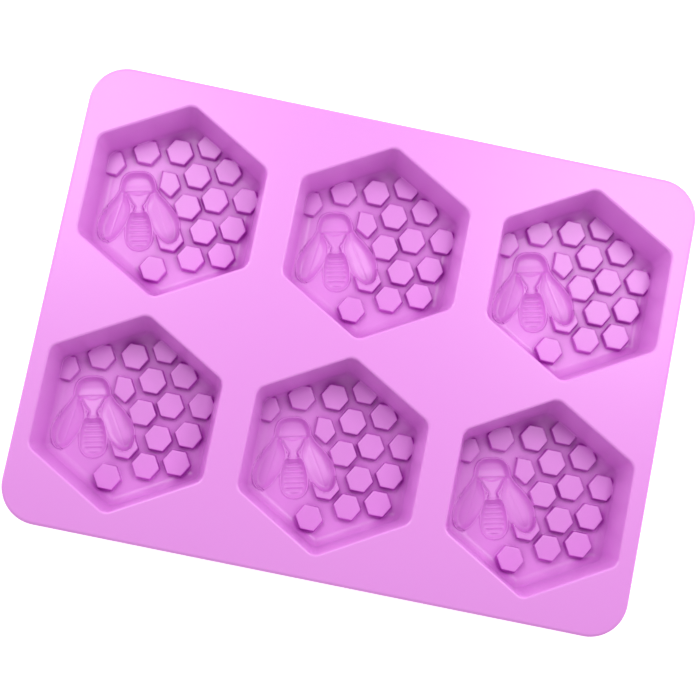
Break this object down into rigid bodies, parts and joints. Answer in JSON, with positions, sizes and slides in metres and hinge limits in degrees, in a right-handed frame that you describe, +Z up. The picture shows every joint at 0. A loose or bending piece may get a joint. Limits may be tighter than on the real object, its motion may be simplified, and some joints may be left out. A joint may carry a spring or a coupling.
{
  "type": "silicone soap mould",
  "caption": "Flexible silicone soap mould: a flat round-cornered deck with deep hexagonal cups, each floor carrying raised honeycomb studs and a sunk bee.",
  "frame": {"origin": "middle of the tray's footprint, on the flat bottoms of the cups that it stands on", "axes": "+X along the long side of the deck, +Y along the short side, +Z up out of the open cups"},
  "size_m": [0.26, 0.194, 0.03],
  "materials": {
    "silicone": "satin pink-lilac silicone, slightly translucent"
  },
  "bodies": {
    "root": {"top_deck": "silicone", "cup_1_wall": "silicone", "cup_1_honeycomb_floor": "silicone", "cup_1_bee_relief": "silicone", "cup_2_wall": "silicone", "cup_2_honeycomb_floor": "silicone", "cup_2_bee_relief": "silicone", "cup_3_wall": "silicone", "cup_3_honeycomb_floor": "silicone", "cup_3_bee_relief": "silicone", "cup_4_wall": "silicone", "cup_4_honeycomb_floor": "silicone", "cup_4_bee_relief": "silicone", "cup_5_wall": "silicone", "cup_5_honeycomb_floor": "silicone", "cup_5_bee_relief": "silicone", "cup_6_wall": "silicone", "cup_6_honeycomb_floor": "silicone", "cup_6_bee_relief": "silicone"}
  },
  "joints": []
}
